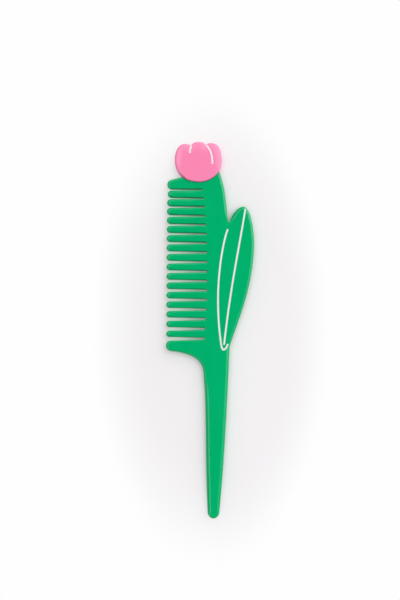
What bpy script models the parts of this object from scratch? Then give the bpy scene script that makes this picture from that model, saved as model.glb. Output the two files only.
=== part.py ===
"""A tulip comb: a green plate with teeth, stalk, leaf and tail, a pink flower head lapped over its top
end and bonded there, and white enamel run into engraved lines on the leaf and on the petals.

The comb lies on its back. +Z points out of its face, +Y to the flower, and the teeth point to -X. The
origin is under the middle of the whole comb, on the surface it lies on.
"""

import bmesh
import bpy
import numpy as np

MM = 0.001

# The green plate
BODY_THICKNESS = 4.0 * MM
EDGE_ROUND = 1.1 * MM

# The teeth, counted from the flower down, and the gaps above, between and below them
TOOTH_COUNT = 16
TOOTH_ROOT_WIDTH = 3.6 * MM
TOOTH_TIP_WIDTH_TOP = 3.25 * MM
TOOTH_TIP_WIDTH_BOTTOM = 2.9 * MM
GAP_WIDTH_TOP = 0.4 * MM
GAP_WIDTH_BOTTOM = 0.85 * MM
GAP_DEPTH_TOP = 15.3 * MM
GAP_DEPTH_MIDDLE = 17.6 * MM
GAP_DEPTH_BOTTOM = 16.4 * MM
GAP_CORNER_RADIUS = 0.18 * MM
TIP_LINE_LEAN = 0.68 * MM

# The broad guard teeth at both ends of the row
TOP_GUARD_WIDTH = 4.55 * MM
TOP_GUARD_NOSE = 2.55 * MM
BOTTOM_GUARD_WIDTH = 5.2 * MM
BOTTOM_GUARD_NOSE = 2.45 * MM
BOTTOM_GUARD_LEAD = 0.1 * MM

# The stalk behind the teeth, and the tail that it runs out in
STALK_WIDTH = 9.6 * MM
CROOK_HEIGHT = 15.0 * MM
TAIL_LENGTH = 60.4 * MM
TAIL_TOP_WIDTH = 10.7 * MM
TAIL_END_WIDTH = 5.4 * MM
TAIL_NOSE = 3.1 * MM
TAIL_SWEEP = 1.17 * MM

# The leaf, which is one with the stalk
LEAF_LENGTH = 63.2 * MM
LEAF_STAND_OUT = 11.8 * MM
LEAF_DROP = 8.3 * MM

# The flower head
FLOWER_WIDTH = 21.2 * MM
FLOWER_HEIGHT = 18.0 * MM
FLOWER_PROUD = 0.7 * MM
FLOWER_EDGE_ROUND = 1.5 * MM
FLOWER_SET_BACK = 13.35 * MM
FLOWER_SEAT = 2.9 * MM

# The half lap of plate and flower, and the adhesive in it
TONGUE_THICKNESS = 2.0 * MM
LAP_CLEARANCE = 0.15 * MM
BOND_GAP = 0.3 * MM
BOND_THICKNESS = 0.2 * MM

# The engraved lines and their enamel
LINE_WIDTH = 0.86 * MM
LINE_DEPTH = 0.5 * MM
ENAMEL_CLEARANCE = 0.08 * MM
ENAMEL_RECESS = 0.1 * MM

# What the cutters stand past the faces that they cut
OVERRUN = 1.0 * MM

# How finely the round stretches are divided
CURVE_STEPS = 8
NOSE_STEPS = 4
CORNER_STEPS = 2
EDGE_RESOLUTION = 2

# How near the points of a cap and a side are to be one, and the angle past which an edge stays sharp
WELD_DISTANCE = 0.001 * MM
SHARP_ANGLE = np.radians(35.0)

# How far along the row the deepest gap lies, how fast the depth falls off to each end, and how soon the
# tip line takes up its lean
DEEPEST_GAP_SHARE = 0.6
GAP_FALL_POWER_TOP = 3.0
GAP_FALL_POWER_BOTTOM = 1.8
TIP_LEAN_POWER = 0.3

# How far each gap sits below its place in an even row, from the first down: they were sawn one by one
GAP_DRIFT = np.array([
    0.4, 0.34, 0.1, 0.1, 0.0, 0.0, -0.05, 0.05, 0.15, 0.2, 0.2, 0.1, 0.05, 0.0, 0.0, 0.0, 0.0,
]) * MM

# The widest rounding that a wall takes, of half its width
WIDEST_ROUND_SHARE = 0.92

# Outlines. A row is one stretch of a curve: its two handles and its end, as (across, up) shares.

# From the foot of the shoulder round the top guard's nose to its lower edge: nose and guard width.
TOP_GUARD_SHARES = (
    ((0.37, 0.927), (-0.07, 0.772), (-0.07, 0.465)),
    ((-0.07, 0.17), (0.28, 0.0), (0.70, 0.0)),
)

# Round the bottom guard's nose, top to bottom: nose and guard width, from its upper root edge.
BOTTOM_GUARD_START_SHARES = (0.90, -0.08)
BOTTOM_GUARD_SHARES = (
    ((0.35, -0.08), (0.0, -0.26), (0.0, -0.53)),
    ((0.0, -0.81), (0.43, -0.965), (1.0, -1.0)),
)

# The crook and both sides of the tail: shares of the way across and along from start to end.
CROOK_SHARES = ((1.17, 0.13), (0.93, 0.66))
TAIL_LEFT_SHARES = ((0.62, 0.21), (0.28, 0.65))
TAIL_RIGHT_SHARES = ((0.52, 0.325), (0.86, 0.77))
TAIL_NOSE_SHARE = 0.55

# The leaf, up its outer side from its base, over the tip and down to the notch: stand-out and length.
LEAF_BASE_SHARES = (0.062, -1.0)
LEAF_SHARES = (
    ((0.284, -0.853), (1.0, -0.585), (1.0, -0.25)),
    ((1.0, -0.2), (0.905, 0.002), (0.575, 0.002)),
    ((0.3, 0.002), (0.098, -0.086), (0.086, -0.0965)),
    ((0.064, -0.1095), (0.016, -0.1135), (0.0, -0.096)),
)
LEAF_STEPS = (12, 10, 8, 4)
STALK_BACK_SHARES = ((0.33, 0.48), (0.235, 0.61))

# The lines on the leaf, in the leaf's shares.
LEAF_EDGE_LINE_START_SHARES = (-0.0155, -0.166)
LEAF_EDGE_LINE_SHARES = (
    ((-0.0985, -0.197), (-0.38, -0.406), (-0.38, -0.664)),
    ((-0.38, -0.79), (-0.335, -0.88), (-0.262, -0.979)),
    ((-0.247, -0.9994), (-0.224, -1.0185), (-0.168, -1.0185)),
    ((-0.10, -1.0185), (-0.054, -1.0), (-0.008, -0.983)),
)
LEAF_EDGE_LINE_STEPS = (9, 7, 4, 4)
MIDRIB_START_SHARES = (0.658, -0.022)
MIDRIB_SHARES = (((0.414, -0.305), (0.10, -0.564), (-0.145, -0.978)),)
MIDRIB_STEPS = (10,)

# The flower, from its left side down round its foot to its right side, then over the petals back to
# the left side: shares of its width from the middle, and of its height from the foot.
FLOWER_LEFT_SHARES = (-0.5035, 0.5375)
FLOWER_LOWER_SHARES = (
    ((-0.5035, 0.06), (-0.13, -0.0065), (0.01, -0.0065)),
    ((0.2065, -0.0065), (0.522, 0.15), (0.4998, 0.575)),
)
FLOWER_UPPER_SHARES = (
    ((0.4942, 0.647), (0.4726, 0.877), (0.3928, 0.926)),
    ((0.345, 0.968), (0.225, 1.005), (0.168, 0.9275)),
    ((0.063, 1.0525), (-0.123, 1.004), (-0.148, 0.917)),
    ((-0.178, 0.935), (-0.235, 0.95), (-0.2865, 0.95)),
    ((-0.420, 0.95), (-0.5035, 0.78), (-0.5035, 0.5375)),
)
FLOWER_LOWER_STEPS = (12, 12)
FLOWER_UPPER_STEPS = (7, 6, 8, 4, 8)

# The tongue under the flower, from the stalk's back edge over its top to the guard's shoulder.
TONGUE_START_SHARES = (0.448, 0.255)
TONGUE_SHARES = (
    ((0.374, 0.4875), (0.25, 0.6375), (0.0586, 0.6375)),
    ((-0.133, 0.6375), (-0.25, 0.5), (-0.25, 0.3)),
    ((-0.25, 0.2125), (-0.244, 0.15), (-0.3035, 0.1325)),
)
TONGUE_STEPS = (7, 7, 5)

# The adhesive between the tongue and the flower.
BOND_START_SHARES = (-0.2055, 0.325)
BOND_SHARES = (
    ((-0.2055, 0.1875), (-0.10, 0.0675), (0.048, 0.0675)),
    ((0.1864, 0.0675), (0.363, 0.1625), (0.363, 0.3125)),
    ((0.363, 0.45), (0.229, 0.585), (0.0586, 0.585)),
    ((-0.09, 0.585), (-0.2055, 0.475), (-0.2055, 0.325)),
)
BOND_STEPS = (5, 5, 5, 5)

# The lines on the petals, in the flower's shares.
PETAL_LEFT_START_SHARES = (-0.150, 0.883)
PETAL_LEFT_SHARES = (((-0.172, 0.82), (-0.176, 0.775), (-0.176, 0.727)),)
PETAL_LEFT_STEPS = (4,)
PETAL_RIGHT_START_SHARES = (0.182, 0.898)
PETAL_RIGHT_SHARES = (((0.266, 0.777), (0.304, 0.644), (0.297, 0.460)),)
PETAL_RIGHT_STEPS = (8,)

# Colours, as red, green and blue light
GREEN = (0.003, 0.413, 0.144)
PINK = (0.965, 0.254, 0.462)
WHITE = (0.840, 0.830, 0.838)
CLEAR = (0.800, 0.790, 0.700)

# Places that several pieces share, from the tip line of the teeth and the upper end of their row
STALK_BACK = GAP_DEPTH_MIDDLE + STALK_WIDTH
FLOWER_SIZE = np.array([FLOWER_WIDTH, FLOWER_HEIGHT])
FLOWER_FOOT = np.array([STALK_BACK - FLOWER_SET_BACK, FLOWER_SEAT])
LEAF_SIZE = np.array([LEAF_STAND_OUT, LEAF_LENGTH])
LEAF_TIP = np.array([STALK_BACK, -LEAF_DROP])
GAP_WIDTHS = np.linspace(GAP_WIDTH_TOP, GAP_WIDTH_BOTTOM, TOOTH_COUNT + 1)
TEETH_ABOVE = TOOTH_ROOT_WIDTH * np.arange(TOOTH_COUNT + 1)
GAP_TOPS = -(np.cumsum(GAP_WIDTHS) - GAP_WIDTHS + TEETH_ABOVE + GAP_DRIFT)
ROW_FOOT = GAP_TOPS[-1] - GAP_WIDTHS[-1]
FLOWER_THICKNESS = BODY_THICKNESS + FLOWER_PROUD


def curve_through(start, stretches, steps):
    """Points along a chain of cubic curves, start first. A stretch is its two handles and its end."""
    points = [np.array([start], float)]
    for (first, second, end), count in zip(stretches, steps):
        share = np.linspace(0.0, 1.0, count + 1)[1:, None]
        left = 1.0 - share
        knots = [points[-1][-1]] + [np.array(knot, float) for knot in (first, second, end)]
        weights = (left**3, 3 * left**2 * share, 3 * left * share**2, share**3)
        points.append(sum(weight * knot for weight, knot in zip(weights, knots)))
    return np.concatenate(points)


def scaled(shares, size, origin):
    """Knots given as shares, at their real size and place. Takes one knot or rows of them."""
    return np.array(shares) * size + origin


def between(start, end, shares):
    """Handles and end of one stretch, its handles given as shares of the way from start to end."""
    start, end = np.array(start), np.array(end)
    return [start + np.array(share) * (end - start) for share in shares] + [end]


def grown(points, distance):
    """An open run of points moved to its right-hand side, square to the run."""
    along = np.gradient(points, axis=0)
    along /= np.linalg.norm(along, axis=1)[:, None]
    return points + distance * np.stack([along[:, 1], -along[:, 0]], axis=1)


def stroke(path, half_width):
    """The outline of a line of one width along a path, with half-round ends."""
    right = grown(path, half_width)
    left = grown(path, -half_width)
    outline = [right]
    for middle, rim in ((path[-1], right[-1]), (path[0], left[0])):
        turn = np.linspace(0.0, np.pi, 2 * NOSE_STEPS + 1)[1:-1, None]
        spoke = rim - middle
        square = np.array([-spoke[1], spoke[0]])
        outline.append(middle + np.cos(turn) * spoke + np.sin(turn) * square)
        outline.append(left[::-1])
    return np.concatenate(outline[:-1])


def body_edge_round():
    """The plate's rounding, which the slimmest tooth and half the thickness limit."""
    slimmest = min(TOOTH_TIP_WIDTH_TOP, TOOTH_TIP_WIDTH_BOTTOM, BODY_THICKNESS, TAIL_END_WIDTH)
    return min(EDGE_ROUND, WIDEST_ROUND_SHARE * slimmest / 2)


def gap_depth(share):
    """How deep a gap runs in from the tip line, at its share of the way down the row."""
    if share < DEEPEST_GAP_SHARE:
        fall = (1.0 - share / DEEPEST_GAP_SHARE) ** GAP_FALL_POWER_TOP
        return GAP_DEPTH_MIDDLE + (GAP_DEPTH_TOP - GAP_DEPTH_MIDDLE) * fall
    fall = ((share - DEEPEST_GAP_SHARE) / (1.0 - DEEPEST_GAP_SHARE)) ** GAP_FALL_POWER_BOTTOM
    return GAP_DEPTH_MIDDLE + (GAP_DEPTH_BOTTOM - GAP_DEPTH_MIDDLE) * fall


def gap_root(number):
    """The closed end of a gap, from its upper to its lower side, with a small round in each corner."""
    deep = gap_depth(number / TOOTH_COUNT)
    high = GAP_TOPS[number]
    low = high - GAP_WIDTHS[number]
    radius = min(GAP_CORNER_RADIUS, WIDEST_ROUND_SHARE * GAP_WIDTHS[number] / 2)
    turn = np.linspace(0.0, np.pi / 2, CORNER_STEPS + 1)
    upper = np.stack([deep + radius * (np.sin(turn) - 1.0), high + radius * (np.cos(turn) - 1.0)], axis=1)
    lower = np.stack([deep + radius * (np.cos(turn) - 1.0), low - radius * (np.sin(turn) - 1.0)], axis=1)
    return np.concatenate([upper, lower])


def tooth_tip(number):
    """The half-round tip of a tooth, from its upper to its lower edge."""
    share = number / (TOOTH_COUNT - 1)
    width = TOOTH_TIP_WIDTH_TOP + (TOOTH_TIP_WIDTH_BOTTOM - TOOTH_TIP_WIDTH_TOP) * share
    middle = (GAP_TOPS[number] - GAP_WIDTHS[number] + GAP_TOPS[number + 1]) / 2
    turn = np.linspace(np.pi / 2, 3 * np.pi / 2, 2 * NOSE_STEPS + 1)
    across = width / 2 * (1.0 + np.cos(turn)) - TIP_LINE_LEAN * share**TIP_LEAN_POWER
    return np.stack([across, middle + width / 2 * np.sin(turn)], axis=1)


def body_head():
    """The plate's edge round its upper end: the stalk's back, the tongue and the top guard's nose."""
    notch = scaled(LEAF_SHARES[-1][-1], LEAF_SIZE, LEAF_TIP)
    tongue_start = scaled(TONGUE_START_SHARES, FLOWER_SIZE, FLOWER_FOOT)
    tongue = scaled(TONGUE_SHARES, FLOWER_SIZE, FLOWER_FOOT)
    size, corner = np.array([TOP_GUARD_NOSE, TOP_GUARD_WIDTH]), np.array([0.0, GAP_TOPS[0]])
    guard = scaled(TOP_GUARD_SHARES, size, corner)
    back = curve_through(notch, [between(notch, tongue_start, STALK_BACK_SHARES)], [CURVE_STEPS])
    top = curve_through(tongue_start, tongue, TONGUE_STEPS)
    nose = curve_through(size + corner, guard, [NOSE_STEPS, NOSE_STEPS])
    return np.concatenate([back, top[1:], nose])


def body_teeth():
    """The plate's edge down the row of gaps and teeth, and round the bottom guard's nose."""
    points = []
    for number in range(TOOTH_COUNT + 1):
        points.append(gap_root(number))
        if number < TOOTH_COUNT:
            points.append(tooth_tip(number))
    size = (BOTTOM_GUARD_NOSE, BOTTOM_GUARD_WIDTH)
    corner = (-TIP_LINE_LEAN - BOTTOM_GUARD_LEAD, ROW_FOOT)
    start = scaled(BOTTOM_GUARD_START_SHARES, size, corner)
    nose = scaled(BOTTOM_GUARD_SHARES, size, corner)
    points.append(curve_through(start, nose, [NOSE_STEPS, NOSE_STEPS]))
    return np.concatenate(points)


def body_tail(start):
    """The plate's edge from the bottom guard round the crook, down the tail, and up to the leaf."""
    crook_end = np.array([STALK_BACK - TAIL_TOP_WIDTH, start[1] - CROOK_HEIGHT])
    end = np.array([STALK_BACK - TAIL_TOP_WIDTH / 2 - TAIL_SWEEP, crook_end[1] - TAIL_LENGTH])
    half = np.array([TAIL_END_WIDTH / 2, 0.0])
    nose = np.array([0.0, TAIL_NOSE])
    left, right = end + nose - half, end + nose + half
    base = scaled(LEAF_BASE_SHARES, LEAF_SIZE, LEAF_TIP)
    stretches = [
        between(start, crook_end, CROOK_SHARES),
        between(crook_end, left, TAIL_LEFT_SHARES),
        (left - TAIL_NOSE_SHARE * nose, end - TAIL_NOSE_SHARE * half, end),
        (end + TAIL_NOSE_SHARE * half, right - TAIL_NOSE_SHARE * nose, right),
        between(right, base, TAIL_RIGHT_SHARES),
    ]
    steps = [2 * CURVE_STEPS, CURVE_STEPS, NOSE_STEPS, NOSE_STEPS, CURVE_STEPS]
    return curve_through(start, stretches, steps)[1:]


def body_outline():
    """The whole edge of the green plate, anticlockwise."""
    head = body_head()
    teeth = body_teeth()
    tail = body_tail(teeth[-1])
    leaf = curve_through(tail[-1], scaled(LEAF_SHARES, LEAF_SIZE, LEAF_TIP), LEAF_STEPS)
    return np.concatenate([head, teeth, tail, leaf[1:-1]])


def flower_lower():
    """The flower's edge from its left side down round its foot to its right side."""
    start = scaled(FLOWER_LEFT_SHARES, FLOWER_SIZE, FLOWER_FOOT)
    return curve_through(start, scaled(FLOWER_LOWER_SHARES, FLOWER_SIZE, FLOWER_FOOT), FLOWER_LOWER_STEPS)


def flower_outline():
    """The whole edge of the flower, anticlockwise."""
    lower = flower_lower()
    upper = scaled(FLOWER_UPPER_SHARES, FLOWER_SIZE, FLOWER_FOOT)
    return np.concatenate([lower, curve_through(lower[-1], upper, FLOWER_UPPER_STEPS)[1:-1]])


def line_path(start, shares, steps, size, origin):
    """The middle of an engraved line."""
    return curve_through(scaled(start, size, origin), scaled(shares, size, origin), steps)


def middle_of_comb():
    """The middle of the whole comb in plan, where the origin is."""
    points = np.concatenate([body_outline(), flower_outline()])
    return (points.min(axis=0) + points.max(axis=0)) / 2


def material(name, colour, roughness):
    """A Principled material of one colour."""
    made = bpy.data.materials.new(name)
    made.use_nodes = True
    shader = made.node_tree.nodes["Principled BSDF"]
    shader.inputs["Base Color"].default_value = (*colour, 1.0)
    shader.inputs["Roughness"].default_value = roughness
    made.diffuse_color = (*colour, 1.0)
    return made


def plate(name, outline, low, high, edge_round, collection):
    """A flat plate between two heights with the given outline, its edges rounded front and back."""
    curve = bpy.data.curves.new(name, "CURVE")
    curve.dimensions = "2D"
    curve.fill_mode = "BOTH"
    curve.extrude = (high - low) / 2 - edge_round
    curve.bevel_depth = edge_round
    curve.bevel_resolution = EDGE_RESOLUTION
    curve.offset = -edge_round
    spline = curve.splines.new("POLY")
    spline.points.add(len(outline) - 1)
    centred = outline - MIDDLE
    spread = np.column_stack([centred, np.zeros(len(outline)), np.ones(len(outline))])
    spline.points.foreach_set("co", spread.ravel())
    spline.use_cyclic_u = True
    guide = bpy.data.objects.new(name + "_guide", curve)
    guide.location.z = (low + high) / 2
    collection.objects.link(guide)
    solid = mesh_of(guide, name)
    collection.objects.link(solid)
    return solid


def mesh_of(guide, name):
    """The curve object as a mesh object in its place, its caps joined to its sides. The curve goes."""
    bpy.context.view_layer.update()
    graph = bpy.context.evaluated_depsgraph_get()
    mesh = bpy.data.meshes.new_from_object(guide.evaluated_get(graph))
    mesh.name = name
    shape = bmesh.new()
    shape.from_mesh(mesh)
    bmesh.ops.remove_doubles(shape, verts=shape.verts, dist=WELD_DISTANCE)
    bmesh.ops.recalc_face_normals(shape, faces=shape.faces)
    shape.to_mesh(mesh)
    shape.free()
    solid = bpy.data.objects.new(name, mesh)
    solid.matrix_world = guide.matrix_world
    curve = guide.data
    bpy.data.objects.remove(guide)
    bpy.data.curves.remove(curve)
    return solid


def finish(solid, made_of):
    """Gives a part its material and shades its round stretches smooth."""
    solid.data.materials.clear()
    solid.data.materials.append(made_of)
    solid.data.shade_smooth()
    solid.data.set_sharp_from_angle(angle=SHARP_ANGLE)


def cut(solid, cutter):
    """Takes the cutter's shape out of the solid."""
    cutter.hide_render = True
    cutter.display_type = "WIRE"
    modifier = solid.modifiers.new("cut_" + cutter.name, "BOOLEAN")
    modifier.operation = "DIFFERENCE"
    modifier.solver = "EXACT"
    modifier.object = cutter


def engrave(solid, face, name, path, parts, cutters, enamel):
    """Cuts one line into the solid's face and lays its enamel in it."""
    floor = face - LINE_DEPTH
    groove = stroke(path, LINE_WIDTH / 2)
    cut(solid, plate(name + "_cutter", groove, floor, face + OVERRUN, 0.0, cutters))
    bead = stroke(path, LINE_WIDTH / 2 - ENAMEL_CLEARANCE)
    low, high = floor + ENAMEL_CLEARANCE, face - ENAMEL_RECESS
    finish(plate(name, bead, low, high, 0.0, parts), enamel)


def make_body(parts, cutters):
    """The green plate, thinned to a tongue under the flower. The step follows the flower's foot."""
    body = plate("comb_body", body_outline(), 0.0, BODY_THICKNESS, body_edge_round(), parts)
    foot = grown(flower_lower(), LAP_CLEARANCE)
    above = FLOWER_FOOT[1] + FLOWER_HEIGHT + OVERRUN
    lap = np.concatenate([foot, [(foot[-1][0], above), (foot[0][0], above)]])
    cut(body, plate("lap_cutter", lap, TONGUE_THICKNESS, BODY_THICKNESS + OVERRUN, 0.0, cutters))
    finish(body, material("green_acetate", GREEN, 0.15))
    return body


def make_flower(parts, cutters):
    """The pink flower head, with a pocket in its back that takes the tongue and runs out at its foot."""
    edge_round = min(FLOWER_EDGE_ROUND, WIDEST_ROUND_SHARE * FLOWER_THICKNESS / 2)
    flower = plate("flower_head", flower_outline(), 0.0, FLOWER_THICKNESS, edge_round, parts)
    rim = grown(body_head(), LAP_CLEARANCE)
    pocket = np.concatenate([rim, [(rim[-1][0], -OVERRUN)]])
    ceiling = TONGUE_THICKNESS + BOND_GAP
    cut(flower, plate("pocket_cutter", pocket, -OVERRUN, ceiling, 0.0, cutters))
    finish(flower, material("pink_acetate", PINK, 0.15))
    return flower


def make_bond(parts):
    """The film of cured adhesive between the tongue and the flower, midway in its gap."""
    start = scaled(BOND_START_SHARES, FLOWER_SIZE, FLOWER_FOOT)
    outline = curve_through(start, scaled(BOND_SHARES, FLOWER_SIZE, FLOWER_FOOT), BOND_STEPS)[:-1]
    low = TONGUE_THICKNESS + (BOND_GAP - BOND_THICKNESS) / 2
    film = plate("flower_bond_film", outline, low, low + BOND_THICKNESS, 0.0, parts)
    finish(film, material("clear_adhesive", CLEAR, 0.3))


def make_lines(body, flower, parts, cutters):
    """The four engraved lines, each with its own run of enamel."""
    enamel = material("white_enamel", WHITE, 0.35)
    on_leaf = (LEAF_SIZE, LEAF_TIP)
    on_flower = (FLOWER_SIZE, FLOWER_FOOT)
    edge = line_path(LEAF_EDGE_LINE_START_SHARES, LEAF_EDGE_LINE_SHARES, LEAF_EDGE_LINE_STEPS, *on_leaf)
    midrib = line_path(MIDRIB_START_SHARES, MIDRIB_SHARES, MIDRIB_STEPS, *on_leaf)
    left = line_path(PETAL_LEFT_START_SHARES, PETAL_LEFT_SHARES, PETAL_LEFT_STEPS, *on_flower)
    right = line_path(PETAL_RIGHT_START_SHARES, PETAL_RIGHT_SHARES, PETAL_RIGHT_STEPS, *on_flower)
    engrave(body, BODY_THICKNESS, "leaf_edge_enamel", edge, parts, cutters, enamel)
    engrave(body, BODY_THICKNESS, "leaf_midrib_enamel", midrib, parts, cutters, enamel)
    engrave(flower, FLOWER_THICKNESS, "petal_line_enamel_left", left, parts, cutters, enamel)
    engrave(flower, FLOWER_THICKNESS, "petal_line_enamel_right", right, parts, cutters, enamel)


def new_collection(name):
    """A collection in the scene."""
    made = bpy.data.collections.new(name)
    bpy.context.scene.collection.children.link(made)
    return made


def main():
    """Clears the scene and models the comb."""
    for old in list(bpy.data.objects):
        bpy.data.objects.remove(old)
    parts = new_collection("tulip_comb")
    cutters = new_collection("cutters")
    body = make_body(parts, cutters)
    flower = make_flower(parts, cutters)
    make_bond(parts)
    make_lines(body, flower, parts, cutters)


MIDDLE = middle_of_comb()

main()
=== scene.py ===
"""The looks of a tulip comb: a green comb plate with teeth, a stalk, a leaf and a tail, a pink flower head
lapped over its top end, and white enamel run into lines engraved on the leaf and on the petals.

The comb lies on its back. +Z points out of its face, +Y to the flower, and the teeth point to -X. Outlines
are worked out from the tip line of the teeth and the upper end of their row, then moved to the frame's
origin, which is under the middle of the whole comb.
"""

import bmesh
import bpy
import numpy as np
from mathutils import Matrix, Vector
from mathutils.geometry import delaunay_2d_cdt


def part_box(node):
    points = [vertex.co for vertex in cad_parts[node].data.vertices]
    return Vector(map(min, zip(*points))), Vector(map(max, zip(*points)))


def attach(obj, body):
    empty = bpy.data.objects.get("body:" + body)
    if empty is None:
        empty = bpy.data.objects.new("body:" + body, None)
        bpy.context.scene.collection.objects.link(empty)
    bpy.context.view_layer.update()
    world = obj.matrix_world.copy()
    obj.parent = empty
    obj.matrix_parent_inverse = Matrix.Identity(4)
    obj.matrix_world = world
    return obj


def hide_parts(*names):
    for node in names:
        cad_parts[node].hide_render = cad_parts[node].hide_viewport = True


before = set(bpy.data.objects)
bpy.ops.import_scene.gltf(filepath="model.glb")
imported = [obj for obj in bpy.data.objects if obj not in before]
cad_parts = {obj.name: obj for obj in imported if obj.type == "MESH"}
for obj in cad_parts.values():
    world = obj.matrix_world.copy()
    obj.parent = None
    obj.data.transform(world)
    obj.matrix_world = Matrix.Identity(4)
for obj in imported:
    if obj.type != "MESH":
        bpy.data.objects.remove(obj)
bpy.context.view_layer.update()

MM = 0.001

# Heights, from the frame
BODY_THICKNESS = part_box("comb_body")[1].z
FLOWER_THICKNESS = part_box("flower_head")[1].z

# The teeth, counted from the flower down, and the gaps above, between and below them
TOOTH_COUNT = 16
TOOTH_ROOT_WIDTH = 3.6 * MM
TOOTH_TIP_WIDTH_TOP = 3.25 * MM
TOOTH_TIP_WIDTH_BOTTOM = 2.9 * MM
GAP_WIDTH_TOP = 0.4 * MM
GAP_WIDTH_BOTTOM = 0.85 * MM
GAP_DEPTH_TOP = 15.3 * MM
GAP_DEPTH_MIDDLE = 17.6 * MM
GAP_DEPTH_BOTTOM = 16.4 * MM
GAP_CORNER_RADIUS = 0.18 * MM
TIP_LINE_LEAN = 0.68 * MM
TIP_LEAN_POWER = 0.3
DEEPEST_GAP_SHARE = 0.6
GAP_FALL_POWER_TOP = 3.0
GAP_FALL_POWER_BOTTOM = 1.8

# How far each gap sits below its place in an even row, from the first down: they were sawn one by one
GAP_DRIFT = np.array([
    0.4, 0.34, 0.1, 0.1, 0.0, 0.0, -0.05, 0.05, 0.15, 0.2, 0.2, 0.1, 0.05, 0.0, 0.0, 0.0, 0.0,
]) * MM

# The broad guard teeth at both ends of the row
TOP_GUARD_WIDTH = 4.55 * MM
TOP_GUARD_NOSE = 2.55 * MM
BOTTOM_GUARD_WIDTH = 5.2 * MM
BOTTOM_GUARD_NOSE = 2.45 * MM
BOTTOM_GUARD_LEAD = 0.1 * MM

# The stalk behind the teeth, and the tail that it runs out in
STALK_WIDTH = 9.6 * MM
CROOK_HEIGHT = 15.0 * MM
TAIL_LENGTH = 60.4 * MM
TAIL_TOP_WIDTH = 10.7 * MM
TAIL_END_WIDTH = 5.4 * MM
TAIL_NOSE = 3.1 * MM
TAIL_SWEEP = 1.17 * MM

# The leaf, which is one with the stalk
LEAF_LENGTH = 63.2 * MM
LEAF_STAND_OUT = 11.8 * MM
LEAF_DROP = 8.3 * MM

# The flower head
FLOWER_WIDTH = 21.2 * MM
FLOWER_HEIGHT = 18.0 * MM
FLOWER_SET_BACK = 13.35 * MM
FLOWER_SEAT = 2.9 * MM

# The half lap of plate and flower
TONGUE_THICKNESS = 2.0 * MM
LAP_CLEARANCE = 0.15 * MM
BOND_GAP = 0.3 * MM

# The engraved lines, and how far their enamel lies below the face
LINE_WIDTH = 0.86 * MM
LINE_DEPTH = 0.5 * MM
LINE_LIP = 0.05 * MM
ENAMEL_SINK = 0.05 * MM
ENAMEL_DISH = 0.05 * MM
ENAMEL_GAP = 0.004 * MM

# The tumbled edges, stretch by stretch: how far the rounding reaches in over the face, and how far it falls
# down the wall. The tail and the leaf's inner side are worked over most, the gaps least. The flower's two
# shares say how far up its lower roundings pass into the petals', and how far across into each other.
STALK_ROUNDING = (1.2 * MM, 0.85 * MM)
NOTCH_ROUNDING = (0.3 * MM, 0.4 * MM)
GUARD_ROUNDING = (1.1 * MM, 0.9 * MM)
TOOTH_TOP_ROUNDING = (0.6 * MM, 0.65 * MM)
TOOTH_UNDER_ROUNDING = (0.5 * MM, 1.8 * MM)
TIP_ROUNDING = (1.4 * MM, 1.1 * MM)
CROOK_ROUNDING = (1.1 * MM, 1.8 * MM)
TAIL_LEFT_ROUNDING = (1.8 * MM, 1.7 * MM)
TAIL_END_ROUNDING = (1.1 * MM, 0.9 * MM)
TAIL_RIGHT_ROUNDING = (1.55 * MM, 1.1 * MM)
LEAF_OUTER_ROUNDING = (1.2 * MM, 0.85 * MM)
LEAF_INNER_ROUNDING = (1.6 * MM, 1.6 * MM)
PETAL_ROUNDING = (1.0 * MM, 1.0 * MM)
FLOWER_LEFT_ROUNDING = (1.15 * MM, 2.4 * MM)
FLOWER_FOOT_ROUNDING = (0.6 * MM, 0.5 * MM)
FLOWER_LOW_SHARES = (0.25, 0.55)
FLOWER_SIDE_SHARES = (-0.34, -0.24)
BACK_FALL = 1.0 * MM
ROUNDING_BLEND = 1.2 * MM

# The teeth are slightly domed across, from their free ends until near their roots
DOME_DROP = 0.14 * MM
DOME_RUN_OUT = 5.0 * MM
DOME_ROWS = (-0.5 * MM, 0.0, 0.5 * MM)
DOME_STEP = 0.6 * MM

# The flower's face falls away a little to its petals and sides, and stays flat at its foot
CROWN_DROP = 0.32 * MM
CROWN_REACH = 4.2 * MM
CROWN_START_SHARE = 0.1
CROWN_FULL_SHARE = 0.55

# A narrow flat band round each face, so that the face shades flat up to its rounding
BAND = 0.05 * MM

# What the cutters stand past the faces that they cut
OVERRUN = 1.0 * MM

# How finely the outlines are divided
CURVE_STEPS = 40
NOSE_STEPS = 12
CORNER_STEPS = 5
ROUND_STEPS = 10
ENAMEL_STEPS = 8
FACE_GRID = 0.45 * MM
LONGEST_SIDE = 1.5 * MM
CORNER_TURN = np.radians(12.0)
SHARP_ANGLE = np.radians(38.0)
WELD = 0.0005 * MM

# Outlines. A row is one stretch of a curve: its two handles and its end, as (across, up) shares.
TOP_GUARD_SHARES = (
    ((0.37, 0.927), (-0.07, 0.772), (-0.07, 0.465)),
    ((-0.07, 0.17), (0.28, 0.0), (0.70, 0.0)),
)
BOTTOM_GUARD_START_SHARES = (0.90, -0.08)
BOTTOM_GUARD_SHARES = (
    ((0.35, -0.08), (0.0, -0.26), (0.0, -0.53)),
    ((0.0, -0.81), (0.43, -0.965), (1.0, -1.0)),
)
CROOK_SHARES = ((1.17, 0.13), (0.93, 0.66))
TAIL_LEFT_SHARES = ((0.62, 0.21), (0.28, 0.65))
TAIL_RIGHT_SHARES = ((0.52, 0.325), (0.86, 0.77))
TAIL_NOSE_SHARE = 0.55
LEAF_BASE_SHARES = (0.062, -1.0)
LEAF_SHARES = (
    ((0.284, -0.853), (1.0, -0.585), (1.0, -0.25)),
    ((1.0, -0.2), (0.905, 0.002), (0.575, 0.002)),
    ((0.3, 0.002), (0.098, -0.086), (0.086, -0.0965)),
    ((0.064, -0.1095), (0.016, -0.1135), (0.0, -0.096)),
)
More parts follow.
